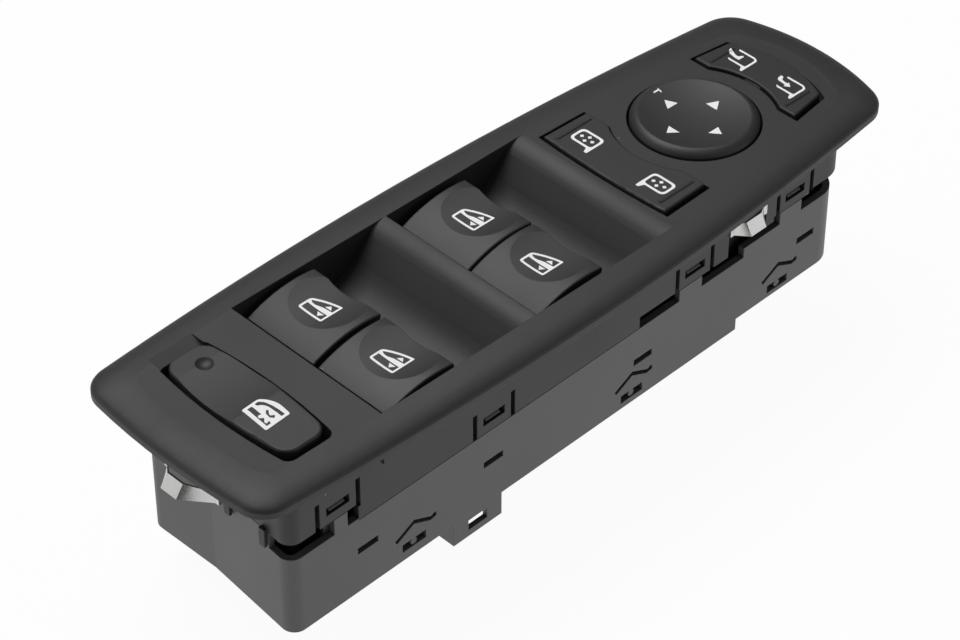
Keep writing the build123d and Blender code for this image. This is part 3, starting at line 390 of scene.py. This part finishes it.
def inkMesh(name, loops):
    curve = bpy.data.curves.new(name, "CURVE")
    curve.dimensions = "2D"
    curve.fill_mode = "BOTH"
    for loop in loops:
        spline = curve.splines.new("POLY")
        spline.points.add(len(loop) - 1)
        for place, point in zip(spline.points, loop):
            place.co = (point[0] * mm, point[1] * mm, 0, 1)
        spline.use_cyclic_u = True
    holder = bpy.data.objects.new(name + "Curve", curve)
    scene.collection.objects.link(holder)
    bpy.context.view_layer.update()
    mesh = bpy.data.meshes.new_from_object(holder)
    bpy.data.objects.remove(holder)
    return mesh


def surfaceTree(nodeName):
    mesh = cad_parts[nodeName].data
    return BVHTree.FromPolygons([v.co.copy() for v in mesh.vertices], [p.vertices[:] for p in mesh.polygons])


def cutIntoStrips(made, low, high, step):
    # the flat ink is cut up so that it can follow a curved cap
    for axis in (0, 1):
        spot = low[axis] + step
        while spot < high[axis]:
            point, normal = [0, 0, 0], [0, 0, 0]
            point[axis], normal[axis] = spot, 1
            everything = made.verts[:] + made.edges[:] + made.faces[:]
            bmesh.ops.bisect_plane(made, geom=everything, plane_co=point, plane_no=normal)
            spot += step


def printSign(name, loops, nodeName, body, shift):
    # shift is where the sign's own zero lies on the part, in mm
    mesh = inkMesh(name, loops)
    made = bmesh.new()
    made.from_mesh(mesh)
    bmesh.ops.remove_doubles(made, verts=made.verts[:], dist=signInk["weld"] * mm)
    bmesh.ops.translate(made, verts=made.verts[:], vec=(shift[0] * mm, shift[1] * mm, 0))
    xs, ys = [v.co.x for v in made.verts], [v.co.y for v in made.verts]
    cutIntoStrips(made, (min(xs), min(ys)), (max(xs), max(ys)), signInk["cut"] * mm)
    tree = surfaceTree(nodeName)
    for vertex in made.verts:
        above = Vector((vertex.co.x, vertex.co.y, signInk["castFrom"] * mm))
        hit = tree.ray_cast(above, Vector((0, 0, -1)))[0]
        vertex.co.z = hit.z + signInk["lift"] * mm
    grown = bmesh.ops.extrude_face_region(made, geom=made.faces[:])["geom"]
    raised = [g for g in grown if isinstance(g, bmesh.types.BMVert)]
    bmesh.ops.translate(made, verts=raised, vec=(0, 0, signInk["thickness"] * mm))
    bmesh.ops.recalc_face_normals(made, faces=made.faces[:])
    made.to_mesh(mesh)
    made.free()
    mesh.materials.clear()
    mesh.materials.append(ink)
    sign = bpy.data.objects.new(name, mesh)
    scene.collection.objects.link(sign)
    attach(sign, body)


# the door with its glass, and the two small arrowheads beside the lift bar
windowSign = {
    "frame": [
        (0.0, 0.0, 0.5), (6.9, 0.0, 0.35), (6.6, 2.2, 1.6), (5.7, 4.9, 1.2), (4.1, 7.5, 0.9), (0.0, 7.5, 0.7),
    ],
    "rearPane": [(0.6, 0.55, 0.1), (2.55, 0.55, 0.1), (2.55, 6.95, 0.1), (0.6, 6.95, 0.25)],
    "frontPane": [
        (4.05, 0.55, 0.1), (6.2, 0.55, 0.1), (5.9, 2.4, 1.0), (5.1, 4.6, 1.0),
        (3.75, 6.9, 0.15), (3.3, 6.4, 0.3), (3.2, 5.2, 0.5), (3.85, 3.4, 0.3),
    ],
    "rearArrow": [(0.95, 2.2, 0.08), (2.15, 1.2, 0.08), (2.15, 3.2, 0.08)],
    "frontArrow": [(5.45, 2.2, 0.08), (4.35, 1.2, 0.08), (4.35, 3.2, 0.08)],
    "middle": (3.35, 3.78),
    "places": {
        "rear_left": (-49.5, 11.95), "rear_right": (-50.0, -11.55),
        "front_left": (-2.5, 11.2), "front_right": (-2.5, -10.8),
    },
}
windowParts = ("frame", "rearPane", "frontPane", "rearArrow", "frontArrow")
windowLoops = [roundedLoop(windowSign[key]) for key in windowParts]
for spot, (x, y) in windowSign["places"].items():
    rocker = spot + "_window_rocker"
    words = spot.split("_")
    name = words[0] + words[1].capitalize() + "WindowSign"
    shift = (x - windowSign["middle"][0], y - windowSign["middle"][1])
    printSign(name, windowLoops, rocker, rocker, shift)
print("window signs printed")

# the same door with a crossed-out bar, on the lock button
lockSign = {
    "frame": [
        (-0.1, -0.15, 0.5), (7.3, 0.3, 0.5), (7.75, 4.4, 1.6),
        (6.9, 6.7, 1.2), (5.5, 8.6, 0.8), (0.45, 8.3, 0.5),
    ],
    "rearPane": [
        (0.97, 0.77, 0.1), (2.22, 0.81, 0.1), (2.47, 1.71, 0.1), (1.51, 1.38, 0.1),
        (1.42, 2.05, 0.1), (2.28, 3.07, 0.1), (1.48, 3.73, 0.1), (1.53, 4.25, 0.1),
        (1.99, 4.52, 0.1), (2.64, 4.3, 0.1), (2.84, 7.66, 0.1), (1.5, 7.6, 0.1),
    ],
    "frontPane": [
        (5.4, 0.93, 0.1), (6.37, 0.97, 0.1), (6.4, 2.97, 0.8), (6.23, 4.88, 0.8),
        (5.74, 6.82, 0.5), (4.83, 7.89, 0.2), (3.79, 7.77, 0.1), (3.84, 7.0, 0.1),
        (4.73, 6.53, 0.5), (5.34, 5.34, 0.8), (5.44, 3.36, 0.8),
    ],
    "cross": [
        (4.28, 4.67, 0.05), (4.67, 4.28, 0.05), (3.9, 3.31, 0.05), (3.76, 2.74, 0.05),
        (4.58, 2.2, 0.05), (3.96, 1.51, 0.05), (3.22, 2.35, 0.05), (3.48, 3.88, 0.05),
    ],
    "place": (-87.1, -11.84),
}
lockLoops = [roundedLoop(lockSign[key]) for key in ("frame", "rearPane", "frontPane", "cross")]
printSign("lockSign", lockLoops, "lock_button", "lock_button", lockSign["place"])

# a mirror on its foot with four small diamonds
selectSign = {
    "frame": [
        (-1.5, 0.0, 0.12), (5.2, 0.0, 1.5), (5.2, 7.2, 1.5),
        (0.0, 7.2, 1.5), (0.0, 1.5, 0.3), (-1.5, 0.85, 0.12),
    ],
    "glass": [(0.68, 0.68, 0.9), (4.52, 0.68, 1.1), (4.52, 6.52, 1.1), (0.68, 6.52, 1.1)],
    "diamonds": [(2.65, 5.35), (3.5, 3.6), (2.6, 1.95), (1.75, 3.65)],
    "diamondHalf": 0.6,
    "diamondCorner": 0.1,
    "node": "mirror_select_rocker",
    "places": {"Left": ((33.22, 7.98), 1), "Right": ((32.92, -8.07), -1)},
}


def selectLoops(flip):
    loops = [roundedLoop(selectSign[key]) for key in ("frame", "glass")]
    half = selectSign["diamondHalf"]
    for x, y in selectSign["diamonds"]:
        diamond = [(x - half, y), (x, y - half), (x + half, y), (x, y + half)]
        loops.append(roundedLoop(diamond, selectSign["diamondCorner"]))
    return [[Vector((p.x, p.y * flip)) for p in loop] for loop in loops]


for side, (place, flip) in selectSign["places"].items():
    printSign("mirror" + side + "Sign", selectLoops(flip), selectSign["node"], selectSign["node"], place)

# a mirror folding: an open frame on its foot, and a bent arrow over it
foldSign = {
    "cradle": [
        (-1.35, 0.0, 0.3), (4.4, 0.0, 1.4), (5.15, 1.1, 0.9), (5.15, 6.2, 0.25),
        (4.55, 6.2, 0.25), (4.55, 1.2, 0.6), (4.1, 0.62, 0.5), (0.62, 0.62, 0.5),
        (0.62, 6.1, 0.2), (0.05, 5.5, 0.2), (0.0, 1.3, 0.3), (-1.35, 0.65, 0.3),
    ],
    "outArrow": [
        (3.55, 8.0, 0.3), (2.2, 7.4, 0.8), (1.65, 5.0, 0.5), (1.65, 3.5, 0.4), (3.6, 3.5, 0.3),
        (3.6, 4.05, 0.3), (2.65, 4.5, 0.4), (2.65, 5.4, 0.5), (3.4, 7.1, 0.5),
    ],
    "inArrow": [
        (4.2, 7.8, 0.3), (2.4, 7.5, 0.9), (2.05, 4.5, 0.2), (1.45, 4.5, 0.15), (2.3, 3.1, 0.15),
        (3.5, 4.5, 0.15), (2.85, 4.6, 0.2), (3.1, 6.5, 0.8), (4.4, 7.0, 0.4),
    ],
    "node": "mirror_fold_rocker",
    "places": {"Out": ((83.67, 4.53), "outArrow"), "In": ((83.77, -10.97), "inArrow")},
}
for way, (place, arrow) in foldSign["places"].items():
    foldLoops = [roundedLoop(foldSign[key]) for key in ("cradle", arrow)]
    printSign("fold" + way + "Sign", foldLoops, foldSign["node"], foldSign["node"], place)

# four arrowheads round the pad, and the small corner mark at its rim
padSigns = {
    "centre": (60.0, 0.0), "reach": 7.45, "length": 2.75, "width": 3.5, "arrowCorner": 0.18,
    "markPlace": (-0.3, 12.25), "markCorner": 0.08,
    "mark": [(0, 0), (1.55, 0), (1.55, -0.9), (1.95, -0.5), (1.95, 0.75), (1.5, 0.45), (0, 0.45)],
}


def padLoops():
    loops = []
    for turn in range(4):
        angle = math.pi / 2 * turn
        out, along = Vector((math.cos(angle), math.sin(angle))), Vector((-math.sin(angle), math.cos(angle)))
        base = out * (padSigns["reach"] - padSigns["length"] / 3)
        tip = out * (padSigns["reach"] + padSigns["length"] * 2 / 3)
        half = along * padSigns["width"] / 2
        arrow = [tuple(base - half), tuple(tip), tuple(base + half)]
        loops.append(roundedLoop(arrow, padSigns["arrowCorner"]))
    x, y = padSigns["markPlace"]
    mark = [(x + dx, y + dy) for dx, dy in padSigns["mark"]]
    loops.append(roundedLoop(mark, padSigns["markCorner"]))
    return loops


printSign("padSigns", padLoops(), "pad_dish", "mirror_pad", padSigns["centre"])
print("lock, mirror and pad signs printed")


# floor, light and camera

def makeFloor():
    settings = {
        "size": 4.0, "height": -0.0556, "tone": (0.9, 0.9, 0.9), "roughness": 0.9, "glow": 0.8, "lift": 0.95,
        "paintedShadeSpot": (-0.33, -0.33, 0.0), "paintedShadeReach": (0.06, 0.42), "paintedShadeLevel": 0.12,
    }
    bpy.ops.mesh.primitive_plane_add(size=settings["size"], location=(0, 0, settings["height"]))
    floor = bpy.context.object
    floor.name = "studioFloor"
    material, tree, shader = blankMaterial("floorPaper")
    shader.inputs["Base Color"].default_value = (*settings["tone"], 1)
    shader.inputs["Roughness"].default_value = settings["roughness"]
    path = addNode(tree, "ShaderNodeLightPath")
    glow = addNode(tree, "ShaderNodeEmission", {"Color": (1, 1, 1, 1)})
    # painted shade, seen only in reflections: mirrored in the object, one part of the paper is darker, as if
    # something stood over it
    place = addNode(tree, "ShaderNodeTexCoord")
    reach = addNode(tree, "ShaderNodeVectorMath", {1: settings["paintedShadeSpot"]}, operation="DISTANCE")
    near, far = settings["paintedShadeReach"]
    fade = {"From Min": near, "From Max": far, "To Min": settings["paintedShadeLevel"], "To Max": 1.0}
    dim = addNode(tree, "ShaderNodeMapRange", fade, interpolation_type="SMOOTHSTEP")
    level = addNode(tree, "ShaderNodeMix", {"A": 1.0}, data_type="FLOAT")
    tree.links.new(place.outputs["Object"], reach.inputs[0])
    tree.links.new(reach.outputs["Value"], dim.inputs["Value"])
    tree.links.new(dim.outputs["Result"], level.inputs["B"])
    tree.links.new(path.outputs["Is Glossy Ray"], level.inputs["Factor"])
    tree.links.new(level.outputs["Result"], glow.inputs["Strength"])
    # the share of glow is higher where the camera, a reflection or clear resin shows the paper
    shown = addNode(tree, "ShaderNodeMath", operation="MAXIMUM")
    seen = addNode(tree, "ShaderNodeMath", operation="MAXIMUM")
    mix = addNode(tree, "ShaderNodeMixShader")
    tree.links.new(path.outputs["Is Camera Ray"], shown.inputs[0])
    tree.links.new(path.outputs["Is Glossy Ray"], shown.inputs[1])
    tree.links.new(shown.outputs[0], seen.inputs[0])
    tree.links.new(path.outputs["Is Transmission Ray"], seen.inputs[1])
    share = addNode(tree, "ShaderNodeMapRange", {"To Min": settings["glow"], "To Max": settings["lift"]})
    tree.links.new(seen.outputs[0], share.inputs["Value"])
    tree.links.new(share.outputs["Result"], mix.inputs["Fac"])
    tree.links.new(shader.outputs["BSDF"], mix.inputs[1])
    tree.links.new(glow.outputs["Emission"], mix.inputs[2])
    tree.links.new(mix.outputs["Shader"], tree.nodes["Material Output"].inputs["Surface"])
    floor.data.materials.append(material)


def makeWorld():
    # white to the camera; as a light, bright overhead and dark towards the horizon
    settings = {"horizon": 0.02, "zenith": 0.27, "seen": 1.0, "lowSky": 0.1, "highSky": 0.95}
    world = bpy.data.worlds.new("studioWorld")
    world.use_nodes = True
    tree = world.node_tree
    back = tree.nodes["Background"]
    back.inputs["Color"].default_value = (1, 1, 1, 1)
    place = addNode(tree, "ShaderNodeTexCoord")
    axes = addNode(tree, "ShaderNodeSeparateXYZ")
    rise = {"From Min": settings["lowSky"], "From Max": settings["highSky"]}
    levels = {"To Min": settings["horizon"], "To Max": settings["zenith"]}
    sky = addNode(tree, "ShaderNodeMapRange", {**rise, **levels})
    path = addNode(tree, "ShaderNodeLightPath")
    level = addNode(tree, "ShaderNodeMapRange", {"To Max": settings["seen"]})
    tree.links.new(place.outputs["Generated"], axes.inputs["Vector"])
    tree.links.new(axes.outputs["Z"], sky.inputs["Value"])
    tree.links.new(sky.outputs["Result"], level.inputs["To Min"])
    tree.links.new(path.outputs["Is Camera Ray"], level.inputs["Value"])
    tree.links.new(level.outputs["Result"], back.inputs["Strength"])
    scene.world = world


lamps = {
    "overheadPanel": {"at": (0.04, 0.40, 0.92), "aim": (0.0, 0.0, 0.0), "size": (0.9, 0.6), "power": 8.4},
    "sidePanel": {"at": (-0.85, 0.5, 0.2), "aim": (-0.05, 0.0, -0.02), "size": (0.9, 0.6), "power": 1.4},
    "frontPanel": {"at": (0.45, -0.9, 0.12), "aim": (0.0, 0.0, -0.02), "size": (0.9, 0.5), "power": 1.4},
}


def makeLamps():
    for name, lamp in lamps.items():
        light = bpy.data.lights.new(name, "AREA")
        light.shape = "RECTANGLE"
        light.size, light.size_y = lamp["size"]
        light.energy = lamp["power"]
        holder = bpy.data.objects.new(name, light)
        holder.location = lamp["at"]
        holder.rotation_mode = "QUATERNION"
        holder.rotation_quaternion = (Vector(lamp["aim"]) - Vector(lamp["at"])).to_track_quat("-Z", "Y")
        scene.collection.objects.link(holder)


def makeCamera():
    settings = {
        "at": (-0.43644, -0.41616, 0.49124), "back": (-0.54402, -0.53188, 0.64896),
        "right": (0.70911, -0.70490, 0.01671), "lens": 127.45, "sensor": 36.0, "clip": (0.01, 20.0),
    }
    data = bpy.data.cameras.new("photoCamera")
    data.lens, data.sensor_width = settings["lens"], settings["sensor"]
    data.clip_start, data.clip_end = settings["clip"]
    camera = bpy.data.objects.new("photoCamera", data)
    back, right = Vector(settings["back"]).normalized(), Vector(settings["right"]).normalized()
    up = back.cross(right).normalized()
    right = up.cross(back).normalized()
    turn = Matrix((right, up, back)).transposed().to_4x4()
    camera.matrix_world = Matrix.Translation(settings["at"]) @ turn
    scene.collection.objects.link(camera)
    scene.camera = camera


makeFloor()
makeWorld()
makeLamps()
makeCamera()
print("floor, light and camera set")
